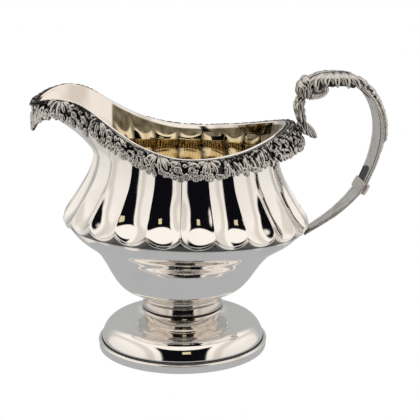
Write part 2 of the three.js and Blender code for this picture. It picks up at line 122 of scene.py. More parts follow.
def interpolate(stations, x):
    """Smooth value at x from a short list of (x, value) stations."""
    xs, ys = np.array(stations, float).T
    x = np.clip(x, xs[0], xs[-1])
    last = len(xs) - 1
    before = np.maximum(np.arange(last + 1) - 1, 0)
    after = np.minimum(np.arange(last + 1) + 1, last)
    slopes = (ys[after] - ys[before]) / (xs[after] - xs[before])
    i = np.clip(np.searchsorted(xs, x) - 1, 0, last - 1)
    span = xs[i + 1] - xs[i]
    return hermite(ys[i], slopes[i] * span, ys[i + 1], slopes[i + 1] * span, (x - xs[i]) / span)


def curve_through(points, per_span, closed=False):
    """Points of a smooth curve through the given ones, per_span to each span."""
    p = np.array(points, float)
    if closed:
        p = np.vstack([p[-1:], p, p[:2]])
    else:
        p = np.vstack([2 * p[0] - p[1], p, 2 * p[-1] - p[-2]])
    slopes = (p[2:] - p[:-2]) / 2
    t = (np.arange(per_span) / per_span)[:, None]
    rows = [hermite(p[k], slopes[k - 1], p[k + 1], slopes[k], t) for k in range(1, len(p) - 2)]
    if not closed:
        rows.append(p[-2:-1])
    return np.vstack(rows)


def step_lengths(points):
    return np.linalg.norm(np.diff(points, axis=0), axis=1)


def running(steps):
    """How far each step starts from the first, and where the last one ends."""
    return np.concatenate([[0], np.cumsum(steps)])


def lookup(x, places, rows):
    """Each column of rows at x, straight between the rows' places."""
    return [np.interp(x, places, column) for column in rows.T]


def xyz(x, y, z):
    return np.stack(np.broadcast_arrays(x, y, z), -1)


def place(piece, slot, *nodes):
    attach(piece, "root")
    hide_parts(*nodes)


def make_piece(name, slot, node, points, faces, material, values=None):
    """A mesh piece from points in millimetres from the foot's axis, with named values on its points."""
    mesh = bpy.data.meshes.new(name)
    co = np.asarray(points, float).reshape(-1, 3) + (FOOT_X, 0, 0)
    mesh.from_pydata((co * MM).tolist(), [], [list(map(int, f)) for f in faces])
    mesh.polygons.foreach_set("use_smooth", [True] * len(mesh.polygons))
    for key, value in (values or {}).items():
        layer = mesh.attributes.new(key, "FLOAT", "POINT")
        layer.data.foreach_set("value", np.broadcast_to(value, (len(co),)).astype(np.float32).ravel())
    mesh.validate()
    mesh.update()
    piece = bpy.data.objects.new(name, mesh)
    bpy.context.scene.collection.objects.link(piece)
    for m in material if isinstance(material, list) else [material]:
        mesh.materials.append(m)
    place(piece, slot, node)
    return piece


def grid_faces(rows, columns):
    """Quads of a grid of points, rows by columns, with the last column joined to the first."""
    r, c = np.meshgrid(np.arange(rows - 1), np.arange(columns), indexing="ij")
    a = r * columns + c
    b = r * columns + (c + 1) % columns
    return np.stack([a, b, b + columns, a + columns], -1).reshape(-1, 4)


def capped_faces(rows, columns):
    """The grid's quads and a face over each end."""
    faces = grid_faces(rows, columns).tolist()
    return faces + [list(range(columns))[::-1], list(range((rows - 1) * columns, rows * columns))]


def unit(v):
    return v / np.maximum(np.linalg.norm(v, axis=-1, keepdims=True), 1e-9)


def tube(path, up, half, thick, ring=8, closed=False):
    """Points and faces of a closed solid of oval section along a path; half across, thick along up."""
    path = np.asarray(path, float)
    n = len(path)
    if closed:
        along = unit(np.roll(path, -1, 0) - np.roll(path, 1, 0))
    else:
        along = unit(np.gradient(path, axis=0))
    side = unit(np.cross(along, up))
    lift = np.cross(side, along)
    phi = 2 * math.pi * np.arange(ring) / ring
    half = np.broadcast_to(half, n)[:, None, None]
    thick = np.broadcast_to(thick, n)[:, None, None]
    sideways = side[:, None] * half * np.cos(phi)[:, None]
    upwards = lift[:, None] * thick * np.sin(phi)[:, None]
    points = (path[:, None] + (sideways + upwards)).reshape(-1, 3)
    if closed:
        faces = grid_faces(n + 1, ring) % (n * ring)
        return points, faces.tolist()
    faces = grid_faces(n, ring).tolist()
    step = np.arange(ring)
    after = (step + 1) % ring
    first, last = n * ring, n * ring + 1
    faces += [[first, b, a] for a, b in zip(step, after)]
    faces += [[last, a, b] for a, b in zip(step + (n - 1) * ring, after + (n - 1) * ring)]
    ends = np.array([path[0], path[-1]])
    return np.vstack([points, ends]), faces


class Group:
    """Many small solids gathered into one piece."""

    def __init__(self):
        self.points = []
        self.faces = []
        self.count = 0

    def add(self, points, faces):
        self.points.append(points)
        self.faces += [[i + self.count for i in face] for face in faces]
        self.count += len(points)


# ---- materials ----


class NodeTree:
    """Short ways to add and join shader nodes."""

    def __init__(self, tree):
        self.nodes = tree.nodes
        self.links = tree.links

    def put(self, socket, value):
        if hasattr(value, "is_linked"):
            self.links.new(value, socket)
        else:
            socket.default_value = value

    def add(self, kind, inputs, **settings):
        """Adds a node, applies its settings, fills or links its inputs, and gives its outputs."""
        node = self.nodes.new(f"ShaderNode{kind}")
        for key, value in settings.items():
            setattr(node, key, value)
        for key, value in inputs.items():
            self.put(node.inputs[key], value)
        return node.outputs

    def range(self, value, low, high, to_low=0.0, to_high=1.0):
        inputs = {"Value": value, "From Min": low, "From Max": high, "To Min": to_low, "To Max": to_high}
        return self.add("MapRange", inputs, interpolation_type="SMOOTHSTEP")["Result"]

    def math(self, operation, a, b=0.0):
        return self.add("Math", {0: a, 1: b}, operation=operation)[0]

    def both(self, a, b):
        return self.math("MULTIPLY", a, b)

    def mix(self, share, a, b):
        a, b = (c if hasattr(c, "is_linked") else (*c, 1) for c in (a, b))
        return self.add("Mix", {"Factor": share, "A": a, "B": b}, data_type="RGBA")["Result"]


class Shader(NodeTree):
    """One material; the heights of its bumps are in metres."""

    def __init__(self, name):
        self.material = bpy.data.materials.new(name)
        self.material.use_nodes = True
        super().__init__(self.material.node_tree)

    def noise(self, scale, detail=3.0, stretch=(1, 1, 1)):
        vector = self.add("TexCoord", {})["Object"]
        if stretch != (1, 1, 1):
            vector = self.add("Mapping", {"Scale": stretch, "Vector": vector})["Vector"]
        return self.add("TexNoise", {"Scale": scale, "Detail": detail, "Vector": vector})["Fac"]

    def attribute(self, name):
        return self.add("Attribute", {}, attribute_name=name)["Fac"]

    def bump(self, height, distance, before=None):
        inputs = {"Strength": 1.0, "Distance": distance, "Height": height}
        if before is not None:
            inputs["Normal"] = before
        return self.add("Bump", inputs)["Normal"]

    def principled(self, values):
        for key, value in values.items():
            self.put(self.nodes["Principled BSDF"].inputs[key], value)
        return self.material

    def metal(self, colour, rough, normal):
        return self.principled({"Metallic": 1.0, "Base Color": colour, "Roughness": rough, "Normal": normal})


SILVER = (0.93, 0.91, 0.88)
TARNISH = (0.42, 0.36, 0.29)
# Oxide in the cast hollows and joints, and also the colour of painted shade under the bowl's ledge and by the
# handle's collar.
OXIDE_AND_SHADE = (0.035, 0.032, 0.03)
MOUTH_SILVER = (0.86, 0.82, 0.77)
AGED_SILVER = (0.74, 0.69, 0.64)
WORN_SILVER = (0.72, 0.68, 0.64)
GILT = (0.82, 0.71, 0.49)
GILT_CLOUD = (0.66, 0.52, 0.33)
GILT_SHADE = (0.09, 0.075, 0.045)


def polished_silver(name, roughness, wave, tone=SILVER):
    s = Shader(name)
    cloud = s.range(s.noise(90), 0.5, 0.8)
    clouded = s.mix(s.both(cloud, 0.12), tone, TARNISH)
    # recess darkens the foot's joints with oxide and paints a shade line under the bowl's ledge.
    colour = s.mix(s.attribute("recess"), clouded, OXIDE_AND_SHADE)
    rough = s.range(s.noise(240, 4), 0.35, 0.8, roughness, roughness + 0.05)
    waves = s.bump(s.noise(110, 1), wave)
    return s.metal(colour, rough, s.bump(s.noise(2500, 2), 0.000003, waves))


def bowl_inside():
    """Silver at the mouth and gilding below it, darkened by painted shade in streaks that run down."""
    s = Shader("gilt_inside")
    cloud = s.range(s.noise(120), 0.4, 0.75)
    gold = s.mix(s.both(cloud, 0.35), GILT, GILT_CLOUD)
    streaks = s.range(s.noise(420, 3, (1, 1, 0.12)), 0.25, 0.7, 0.8, 1.0)
    # On the bowl's inside, recess is painted shade under the rim and along the edges between flutes.
    gold = s.mix(s.both(s.attribute("recess"), streaks), gold, GILT_SHADE)
    colour = s.mix(s.attribute("gilt"), MOUTH_SILVER, gold)
    rough = s.range(s.noise(300, 4), 0.35, 0.8, 0.05, 0.14)
    return s.metal(colour, rough, s.bump(s.noise(140, 2), 0.00007))


def cast_silver(name, light, roughness=0.14):
    """Cast relief: worn bright on the crests, dark with tarnish in the hollows; on the straps this dark also
    paints shade by the collar.
    """
    s = Shader(name)
    recess = s.both(s.attribute("recess"), s.range(s.noise(700, 3), 0.2, 0.7, 0.75, 1.15))
    tone = tuple(light * c for c in SILVER)
    crest = s.mix(s.range(s.noise(260, 4), 0.45, 0.75, 0.0, 0.5), tone, TARNISH)
    colour = s.mix(s.range(recess, 0.15, 0.85), crest, OXIDE_AND_SHADE)
    rough = s.range(s.noise(900, 3), 0.3, 0.8, roughness, roughness + 0.16)
    return s.metal(colour, rough, s.bump(s.noise(1500, 3), 0.00005))


cast = cast_silver("cast_silver", 0.7)
cast_strap = cast_silver("strap_silver", 0.78, 0.32)
# A lighter copy of the cast silver: painted light that keeps the volute bright where it sits in the loop's
# shade.
bright = cast_silver("bright_cast", 1.0, 0.38)
polished = polished_silver("polished_silver", 0.03, 0.00004)
satin = polished_silver("satin_silver", 0.14, 0.00006)
inside = bowl_inside()
aged = polished_silver("aged_silver", 0.08, 0.00007, AGED_SILVER)
worn = polished_silver("worn_silver", 0.42, 0.00005, WORN_SILVER)

# ---- pedestal foot ----


def turned(name, outline, material, node, dark=None):
    """A turned piece from its outline, (radius, height) in mm; dark is a tarnished range of height."""
    r, z = np.array(outline, float).T[..., None]
    low, high = dark or (1, 0)
    segments = 240
    angle = np.linspace(0, 2 * math.pi, segments, endpoint=False)
    points = xyz(r * np.cos(angle), r * np.sin(angle), z)
    recess = np.repeat(0.95 * ((z >= low) & (z <= high)), segments)
    faces = grid_faces(len(r), segments)[:, ::-1]
    make_piece(name, "polished_silver", node, points, faces, material, {"recess": recess})


def make_foot():
    r = FOOT_RADIUS
    band = [(r - 2.8, 0.05), (r - 0.5, 0), (r - 0.2, 0.12), (r - 0.1, 0.5), (r - 0.1, 2.5)]
    bead = np.array([(-0.1, 2.6), (0.12, 2.85), (0.15, 3.1), (0.05, 3.45), (-0.35, 3.75), (-0.9, 3.88)])
    close = [(r - 1.2, 3.89), (r - 2.8, 3.9), (r - 2.8, 0.05)]
    outline = np.vstack([band, curve_through(bead + (r, 0), 5), close])
    turned("foot_band", outline, satin, "foot_rim_band", (3.885, 3.95))

    well = r - 16.7  # the hollow round the stem
    top = [
        (r - 1.6, 4.2), (r - 1.4, 5), (r - 2, 7), (r - 3.1, 9), (r - 4.8, DOME_TOP - 1),
        (r - 7.2, DOME_TOP), (r - 10, DOME_TOP - 0.1), (r - 13, DOME_TOP - 1), (r - 15.5, DOME_TOP - 2),
        (well, DOME_TOP - 2.4),
    ]
    under = curve_through([(radius - 0.5, height - 1.2) for radius, height in top[-2:1:-1]], 4)
    outline = np.vstack([curve_through(top, 8), under, [(r - 3, 4.3), (r - 1.5, 4.3)]])
    turned("foot_dome_skin", outline, polished, "foot_dome", (0, 4.7))

    ring = np.array([(-0.3, -3.6), (-0.2, -2.35), (-1, -2), (-2.2, -1.6), (-3.4, -1.1)]) + (well, DOME_TOP)
    trumpet = np.array([(-3.4, -1), (-3.3, 0.4), (-2.9, 2.3), (-2.3, 4), (-1.7, 5)]) + (well, DOME_TOP)
    close = [(0.01, DOME_TOP + 5), (0.01, DOME_TOP + 3.8), (14.3, DOME_TOP + 3.8), (14.3, 10.2), (17, 8.1)]
    outline = np.vstack([curve_through(ring, 8), curve_through(trumpet, 8), close, ring[:1]])
    turned("foot_trumpet_skin", outline, aged, "foot_trumpet")

    flange_top, edge = FLANGE_LOW + 0.5, 16.9
    outline = [
        (0.01, FLANGE_LOW), (edge - 0.5, FLANGE_LOW), (edge, FLANGE_LOW + 0.15), (edge, flange_top - 0.15),
        (edge - 0.4, flange_top), (0.01, flange_top),
    ]
    turned("neck_flange_skin", outline, aged, "neck_flange", (FLANGE_LOW, flange_top))

    low, high = flange_top + 0.05, BOWL_BOTTOM - 0.05
    ring = np.array([(16.3, 0), (16.9, 0.5), (16.97, 1), (16.8, 2.9), (16.3, 3.5)]) + (0, low)
    waist = np.array([(15.8, 4), (15.7, 4.7), (15.9, 5.5)]) + (0, low)
    side = curve_through([*ring, *waist, (16.7, high)], 6)
    turned("neck_drum_skin", np.vstack([[(0.01, low)], side, [(0.01, high)]]), aged, "neck_drum")


# ---- bowl ----

rim_side = np.array(RIM, float)
left_side = rim_side[1:-1][::-1]
rim_loop = np.vstack([rim_side * (1, -1, 1, 1, 1), left_side])
rim_fine = curve_through(rim_loop, 160, closed=True)  # x, y, z, reach, hang
rim_angle = np.arctan2(rim_fine[:, 1], rim_fine[:, 0])
rim_order = np.argsort(rim_angle)


def rim_toward(direction, column):
    """Radius (column 0) or height (column 1) of the rim in a direction from the foot's axis."""
    values = (np.hypot(rim_fine[:, 0], rim_fine[:, 1]), rim_fine[:, 2])[column]
    return np.interp(direction, rim_angle[rim_order], values[rim_order], period=2 * math.pi)


def oval_point(height, angle, inward):
    """A point of the bowl below the throat: height, direction round the oval, how far in from outside."""
    lean = smooth((height - LEAN_START) / (LEAN_END - LEAN_START))
    half = interpolate(HALF_LENGTH, height)
    a = half - inward
    b = half * interpolate(OVAL, height) - inward
    x = SHIFT_BACK * lean + a * np.cos(angle)
    return xyz(x, b * np.sin(angle), height - LEAN_BACK * lean * x)


def flare_point(angle, up, inward):
    """A point between the throat and the rim."""
    throat = oval_point(np.full_like(angle, THROAT_HEIGHT), angle, inward)
    direction = np.arctan2(throat[..., 1], throat[..., 0])
    radius = rim_toward(direction, 0) + WALL - inward * up
    edge = xyz(radius * np.cos(direction), radius * np.sin(direction), rim_toward(direction, 1))
    return throat + (edge - throat) * xyz(up**1.4, up**1.4, up)


def make_bowl():
    share = 0.5 - 0.5 * np.cos(math.pi * np.arange(PER_FLUTE) / PER_FLUTE)
    flute, across = np.meshgrid(np.arange(FLUTES), share, indexing="ij")
    angle = np.radians(FIRST_CUSP + 360 * (flute + across).ravel() / FLUTES)
    edge_share = (2 * across.ravel() - 1) ** 2
    columns = len(angle)
    soft_edge = 0.06  # how round the edge between two flutes is
    channel = np.sqrt((1 - edge_share) ** 2 + soft_edge**2) - soft_edge
    scallop = LOBE_HEIGHT + (CUSP_HEIGHT - LOBE_HEIGHT) * edge_share**1.1

    def belly(heights, inward, lift=0.0):
        return [oval_point(np.full(columns, h), angle, inward) + (0, 0, lift) for h in heights]

    def fluted(rise, inward):
        rows = []
        for up in rise:
            height = scallop + (THROAT_HEIGHT - scallop) * up
            above = np.clip((height - scallop) / SCOOP, 0, 1)
            scoop = 1 - (1 - above) ** 2
            depth = lerp(FLUTE_DEPTH_LOW, FLUTE_DEPTH, smooth((height - 66) / 10)) * channel
            rows.append(oval_point(height, angle, inward + depth * scoop - LEDGE * (1 - scoop)))
        return rows

    def flared(rise, inward):
        rows = []
        for up in rise:
            fade = FLUTE_DEPTH * channel * (1 - smooth((up - 0.28) / 0.3 if inward else up / 0.8))
            rows.append(flare_point(angle, np.full(columns, up), inward + fade))
        return rows

    # From below: tucked in under the scalloped edge, round its lower bead, over a groove to its upper bead.
    edge_section = [
        (2.15, -0.22), (2.05, -0.25), (1.95, 0.2), (1.85, 0.65), (1.6, 0.9), (1.3, 0.97), (1.05, 0.8),
        (0.85, 0.5), (0.65, 0.5), (0.5, 0.85), (0.3, 1.0), (0.12, 1.0),
    ]
    under = np.linspace(30, 54, 46)[1:]
    lower = belly(np.linspace(BOWL_BOTTOM, 30, 26), 0.0)
    for h in under:
        top_gap = np.clip((scallop - 2.2 - h) / 1.2, 0, 1)
        height = np.minimum(h, scallop - 2.2 - 0.02 * (under[-1] - h))
        lower.append(oval_point(height, angle, 0.2 * LEDGE * (1 - smooth(top_gap))))
    lip = [oval_point(scallop - drop, angle, -out * LEDGE) for drop, out in edge_section]
    rise = np.concatenate([np.linspace(0, 1, 30) ** 1.6 * 0.25, np.linspace(0.25, 1, 26)[1:]])
    flare = np.linspace(0, 1, 30)[1:]
    outside = lower + lip + fluted(rise, 0.0) + flared(flare, 0.0)
    top = flare_point(angle, np.ones(columns), np.zeros(columns))
    inner_top = flare_point(angle, np.ones(columns), np.full(columns, WALL))
    crowning = [(t, 0.45 * math.sin(math.pi * t)) for t in (0.2, 0.4, 0.6, 0.8)]
    round_over = [lerp(top, inner_top, t) + (0, 0, lift) for t, lift in crowning]
    inner_heights = np.linspace(26.5, 54, 50)[::-1]
    rows_in = flared(flare[::-1], WALL) + fluted(rise[:1:-1], WALL) + belly(inner_heights, WALL, WALL)
    middle = rows_in[-1].mean(0)
    centre = [lerp(rows_in[-1], middle, t) for t in (0.25, 0.5, 0.75, 0.99)]
    rows = outside + round_over + rows_in + centre
    points = np.array(rows)
    first = len(outside) + len(round_over)
    x, y, z = points[first:].transpose(2, 0, 1)
    gilt = np.zeros(points.shape[:2])
    below_rim = rim_toward(np.arctan2(y, x), 1) - GILT_BELOW_RIM - z
    gilt[first:] = smooth(below_rim / 0.4) * smooth((x - GILT_FRONT) / 0.8)

    recess = np.zeros(points.shape[:2])
    # A painted shade line in the undercut below the scalloped ledge.
    recess[len(lower) - 3 : len(lower) + 2] = 0.9
    # Inside, painted shade hangs from the rim, lowest in the middle of each flute, and lines the edges
    # between.
    band = first + len(flare)
    arch = (flare[::-1, None] - 0.22 - 0.3 * edge_share) / 0.06
    near = 0.05 + 0.95 * smooth((y[: len(flare)] + 10) / 20)  # less painted shade on the right side
    recess[first:band] = near * np.maximum(smooth(arch), 0.9 * smooth((edge_share - 0.4) / 0.4))
    # Lower down, painted shade lines the edges between the flutes.
    recess[band:] = 0.85 * smooth((edge_share - 0.45) / 0.5)
    values = {"gilt": gilt.ravel(), "recess": recess.ravel()}
    faces = grid_faces(len(rows), columns)
    piece = make_piece("bowl_skin", "polished_silver", "bowl", points, faces, [polished, inside], values)
    inner = np.repeat(np.arange(len(rows) - 1) >= first - 2, columns)
    piece.data.polygons.foreach_set("material_index", inner.astype(np.int32))


# ---- cast border ----

BORDER_CUTS = [0.055, 0.15, 0.245, 0.345, 0.445, 0.555, 0.655, 0.755, 0.85, 0.945]  # shares of the way round
BORDER_NODES = [
    "lip_tip", "lip_side_right", "throat_right", "side_front_right", "side_back_right", "back",
    "side_back_left", "side_front_left", "throat_left", "lip_side_left",
]
SECTION = [(0, 0.06), (0.3, 0.16), (0.62, -0.14), (0.88, -0.55), (1, -1)]  # shares of the reach and the hang
GROUND = -1.45  # how far the dark ground lies under the tops of the leaves
INNER_EDGE = 1.5

rim_steps = step_lengths(np.vstack([rim_fine, rim_fine[:1]])[:, :3])
rim_place = running(rim_steps)[:-1]
RIM_LENGTH = rim_steps.sum()
rim_along = np.roll(rim_fine, -4, 0)[:, :2] - np.roll(rim_fine, 4, 0)[:, :2]
rim_out = unit(np.stack([rim_along[:, 1], -rim_along[:, 0]], -1))
section_fine = curve_through(SECTION, 24)
section_steps = step_lengths(section_fine * (5.5, 7.5))  # at a usual reach and hang
section_share = running(section_steps) / section_steps.sum()
section_slope = np.gradient(section_fine, section_share, axis=0)


def around_rim(values, s):
    return np.interp(s, rim_place, values, period=RIM_LENGTH)


def section_length(s):
    """Length of the border's section, from the rim over to its hem, s millimetres round from the lip."""
    return 0.62 * around_rim(rim_fine[:, 3], s) + 0.78 * around_rim(rim_fine[:, 4], s)


def on_border(flat):
    """Bends flat points (along the rim in mm, share of the way down, height in mm) onto the border."""
    s, q, h = (np.asarray(flat, float).reshape(-1, 3) - (0, 0, 0.25)).T
    reach = around_rim(rim_fine[:, 3], s) - INNER_EDGE
    hang = around_rim(rim_fine[:, 4], s)
    inside_q = np.clip(q, 0, 1)
    o, d = lookup(inside_q, section_share, section_fine)
    slope_o, slope_d = lookup(inside_q, section_share, section_slope)
    o = np.minimum(o + slope_o * (q - inside_q), 1)
    d = d + slope_d * (q - inside_q)
    normal = unit(np.stack([-hang * slope_d, reach * slope_o], -1))
    away = np.minimum(INNER_EDGE + reach * o + normal[:, 0] * h, INNER_EDGE + reach - 0.12)
    out = unit(np.stack([around_rim(rim_out[:, k], s) for k in (0, 1)], -1))
    x = around_rim(rim_fine[:, 0], s) + out[:, 0] * away
    y = around_rim(rim_fine[:, 1], s) + out[:, 1] * away
    return xyz(x, y, around_rim(rim_fine[:, 2], s) + hang * d + normal[:, 1] * h)


class Ornament(Group):
    """Relief drawn flat: s along, v across, both in mm, and h in mm from the highest tops.

    depth_at, when given, is the length at s that turns v into a share of the border's section.
    """

    def __init__(self, depth_at=None):
        super().__init__()
        self.depth_at = depth_at

    def strand(self, s, v, h, half, thick, ring=8, closed=False):
        length = self.depth_at(np.mean(s)) if self.depth_at else 1.0
        points, faces = tube(xyz(s, v, h), (0, 0, 1), half, thick, ring, closed)
        self.add(points / (1, length, 1), faces)

    def finger(self, s, v, heading, length, width, bend=0.0, top=-0.35, root=-1.1):
        """A rounded leaf finger; its heading is in degrees from straight down."""
        t = np.linspace(0, 1, 9)
        turn = np.radians(heading + bend * t)
        path_s = s + running(np.sin(turn[:-1])) * length / 8
        path_v = v + running(np.cos(turn[:-1])) * length / 8
        half = width / 2 * np.sqrt(np.clip(1 - ((t - 0.42) / 0.6) ** 2, 0.02, 1))
        rise = np.sin(math.pi * np.minimum(t * 0.62, 0.5))
        h = root + (top - root) * rise - 0.35 * np.clip(t - 0.85, 0, 1) / 0.15
        thick = np.minimum(half * 1.15, 1.1)
        self.strand(path_s, path_v, h - thick * 0.6, half, thick)

    def ring(self, s, v, radius, wire, h=-0.5):
        a = np.linspace(0, 2 * math.pi, 14, endpoint=False)
        self.strand(s + radius * np.cos(a), v + radius * np.sin(a), h + 0 * a, wire, wire * 1.2, 7, True)

    def bead(self, s, v, radius, h=-0.4):
        t = np.linspace(-0.96, 0.96, 7)
        half = radius * np.sqrt(1 - t**2)
        self.strand(s + radius * t, v + 0 * t, h - radius + 0 * t, half, half)

    def tendril(self, s, v, width, turns, size, mirror):
        """A scroll winding in from a stem."""
        t = np.linspace(0, 1, 20)
        a = turns * 2 * math.pi * t
        r = size * (1 - 0.75 * t)
        path_s = s + mirror * r * np.cos(a)
        path_v = v + r * np.sin(a)
        half = width / 2 * (1 - 0.45 * t)
        self.strand(path_s, path_v, -0.75 + 0.3 * t, half, half * 1.2)


def fan(o, s, length, rng):
    """A leaf whose fingers spread from a root below the rim."""
    count = 5
    for k in range(count):
        share = k / (count - 1) * 2 - 1
        heading = 66 * share + rng.uniform(-9, 9)
        reach = length * (0.7 - 0.24 * abs(share)) * rng.uniform(0.85, 1.1)
        width = rng.uniform(1.8, 2.5)
        o.finger(s + 1.1 * share, 0.2 * length, heading, reach, width, -30 * share, rng.uniform(-0.45, -0.05))


def ring_cluster(o, s, length, rng):
    """Pitted knobs among plain ones, with a curled leaf to each side."""
    spots = ((-2.3, 0.62, 0.95), (0.3, 0.86, 0.9), (2.4, 0.6, 0.95), (-3.4, 0.9, 0.7), (3.6, 0.9, 0.8))
    for ds, share, radius in spots:
        radius *= rng.uniform(0.75, 1)
        o.ring(s + ds, share * length, radius, rng.uniform(0.48, 0.6), rng.uniform(-0.5, -0.1))
    spots = ((-1.1, 0.74), (1.5, 0.77), (3.8, 0.7), (0.1, 0.42), (1.9, 0.3), (-1.8, 0.36), (-4, 0.5))
    for ds, share in spots:
        o.bead(s + ds, share * length, rng.uniform(0.7, 1.1), rng.uniform(-0.4, 0.1))
    for mirror in (-1, 1):
        o.finger(s + mirror * 2.2, 0.26 * length, mirror * 40, 3.4, 2.2, mirror * 60, -0.15)


def scroll(o, s, length, rng):
    mirror = 1 if rng.random() < 0.5 else -1
    o.tendril(s + mirror * 1.8, 0.64 * length, 1.2, 1.35, 2.0, mirror)
    o.tendril(s - mirror * 2.3, 0.42 * length, 1.0, 1.2, 1.5, -mirror)
    for k in range(4):
        lean = -mirror * (4 + 14 * k)
        o.finger(s - mirror * (0.8 + 1.3 * k), 0.46 * length, lean, rng.uniform(0.42, 0.54) * length, 1.5, 14)
    o.ring(s + mirror * 4, 0.84 * length, 0.8, 0.5)


def ribs(o, s, length, rng):
    """Ribs hanging side by side, as on the border towards the handle."""
    for k in range(5):
        heading = rng.uniform(-26, 26)
        start = rng.uniform(0.24, 0.5)
        reach = (0.96 - start) * length
        width = rng.uniform(1.5, 2.3)
        o.finger(s + (k - 2) * 2, start * length, heading, reach, width, 8, rng.uniform(-0.45, 0))
    for k in range(4):
        o.finger(s + (k - 1.5) * 2.4, 0.5 * length, rng.uniform(-30, 30), 0.38 * length, 1.0, -10, -0.55)


def leafage(o, s, length, rng):
    """Small overlapping leaves, several rows deep."""
    for row in range(5):
        for k in range(6):
            v = (0.14 + 0.15 * row) * length
            heading = rng.uniform(-60, 60)
            spot = s + (k - 2.5) * 1.75 + (row % 2) * 0.8
            o.finger(spot, v, heading, rng.uniform(2, 3), rng.uniform(0.9, 1.4), 25, rng.uniform(-0.7, -0.3))


def filling(o, s, length, rng, pitch):
    """Low leaves and beads that fill the ground between the taller ones."""
    for _ in range(6):
        spot = s + rng.uniform(-0.5, 0.5) * pitch
        v = rng.uniform(0.2, 0.75) * length
        heading = rng.uniform(-80, 80)
        reach = rng.uniform(1.8, 3)
        o.finger(spot, v, heading, reach, rng.uniform(1.4, 2.1), rng.uniform(-50, 50), -0.7)
    for _ in range(8):
        spot = s + rng.uniform(-0.5, 0.5) * pitch
        o.bead(spot, rng.uniform(0.3, 0.95) * length, rng.uniform(0.5, 0.95), -0.2)


def upper_row(o, s, length, rng, pitch):
    """Small leaves leaning along the rim."""
    for k in range(18):
        lean = rng.uniform(25, 80) * (1 if k % 2 else -1)
        spot = s + (k % 9 - 4) * pitch / 9
        v = (rng.uniform(0.06, 0.13) if k < 9 else rng.uniform(0.17, 0.27)) * length
        o.finger(spot, v, lean, rng.uniform(1.5, 2.6), rng.uniform(0.8, 1.1), -20, rng.uniform(-0.85, -0.5))


def hem_row(o, s, length, rng, pitch):
    """Curled tips and knobs along the ragged hem."""
    for k in range(6):
        spot = s + (k - 2.5) * pitch / 6 + rng.uniform(-0.3, 0.3)
        tip = rng.uniform(0.9, 1.07) * length
        size = rng.uniform(1.6, 3.0)
        heading = rng.uniform(-45, 45)
        width = rng.uniform(1.4, 2.1)
        o.finger(spot, tip - size, heading, size, width, rng.uniform(-40, 40), -0.3, -0.9)
        if rng.random() < 0.6:
            o.bead(spot + rng.uniform(-0.6, 0.6), tip - 0.6, rng.uniform(0.6, 0.95), -0.05)
        elif rng.random() < 0.6:
            o.ring(spot + 0.7, tip - 0.8, rng.uniform(0.6, 0.8), 0.45, -0.2)


def make_ornament(pieces):
    rng = np.random.default_rng(11)
    motifs = 30
    pitch = RIM_LENGTH / motifs
    kinds = [fan, ring_cluster, scroll, fan, ring_cluster]
    for k in range(motifs):
        s = (k + 0.5) * pitch
        share = s / RIM_LENGTH
        from_handle = abs(share - 0.5)
        length = section_length(s)
        o = pieces[int(np.searchsorted(BORDER_CUTS, share)) % len(pieces)]
        if from_handle < 0.1:
            kind = leafage
        elif from_handle < 0.17:
            kind = ribs
        else:
            kind = kinds[(k + 1) % len(kinds)]
        kind(o, s, length, rng)
        filling(o, s, length, rng, pitch)
        upper_row(o, s, length, rng, pitch)
        hem_row(o, s, length, rng, pitch)


def ground_strip(low, high):
    """The border's dark ground and the plain roll beside the rim, between two shares of the way round."""
    outline = [(0.01, -0.9), (0.02, -0.55), (0.03, -0.4), (0.04, -0.4), (0.05, -0.6), (0.055, GROUND)]
    outline += [(q, GROUND) for q in np.linspace(0.14, 0.9, 12)]
    outline += [(0.94, GROUND - 0.3), (0.9, GROUND - 0.8)]
    outline += [(q, GROUND - 0.8) for q in np.linspace(0.8, 0.1, 10)]
    outline += [(0.01, GROUND - 0.6)]
    q, h = np.array(outline).T
    s = np.linspace(low, high, max(2, round((high - low) * 400))) * RIM_LENGTH
    faces = [face[::-1] for face in capped_faces(len(s), len(outline))]
    return xyz(s[:, None], q, h).reshape(-1, 3), faces


def make_border():
    pieces = [Ornament(section_length) for _ in BORDER_NODES]
    ends = [BORDER_CUTS[-1] - 1] + BORDER_CUTS
    for k, o in enumerate(pieces):
        o.add(*ground_strip(ends[k], ends[k + 1]))
    make_ornament(pieces)
    for name, o in zip(BORDER_NODES, pieces):
        flat = np.vstack(o.points)
        values = {"recess": smooth((-flat[:, 2] - 0.15) / 0.7)}
        points = on_border(flat)
        make_piece(f"border_cast_{name}", "cast_silver", f"border_{name}", points, o.faces, cast, values)


# ---- handle ----

HANDLE_FOOT = 44  # the handle stands here, in a plane turned a little about this line
HANDLE_TURN = math.radians(4)
STRAP = [
    (61.5, 111.6), (67, 112.7), (72, 111.6), (76, 108.8), (79.2, 104.6), (81.4, 99.2), (82.3, 93),
    (81.8, 87), (80.3, 80.6), (78.4, 75.6), (76.2, 70.4),
]
LOWER_STRAP = [
    (76, 70), (72.6, 65.6), (68.4, 61.3), (64.2, 57.7), (59.7, 54.6), (56, 52.2), (53.2, 50.5), (51.2, 49.2),
]
STRAP_THICKNESS = 1.3
GAP = 0.3


def on_handle(points):
    """Turns points (forwards, sideways, up) of the handle's own plane into the jug's directions."""
    x, y, z = np.asarray(points, float).reshape(-1, 3).T
    x = x - HANDLE_FOOT
    c, sn = math.cos(HANDLE_TURN), math.sin(HANDLE_TURN)
    return xyz(HANDLE_FOOT + c * x - sn * y, sn * x + c * y, z)


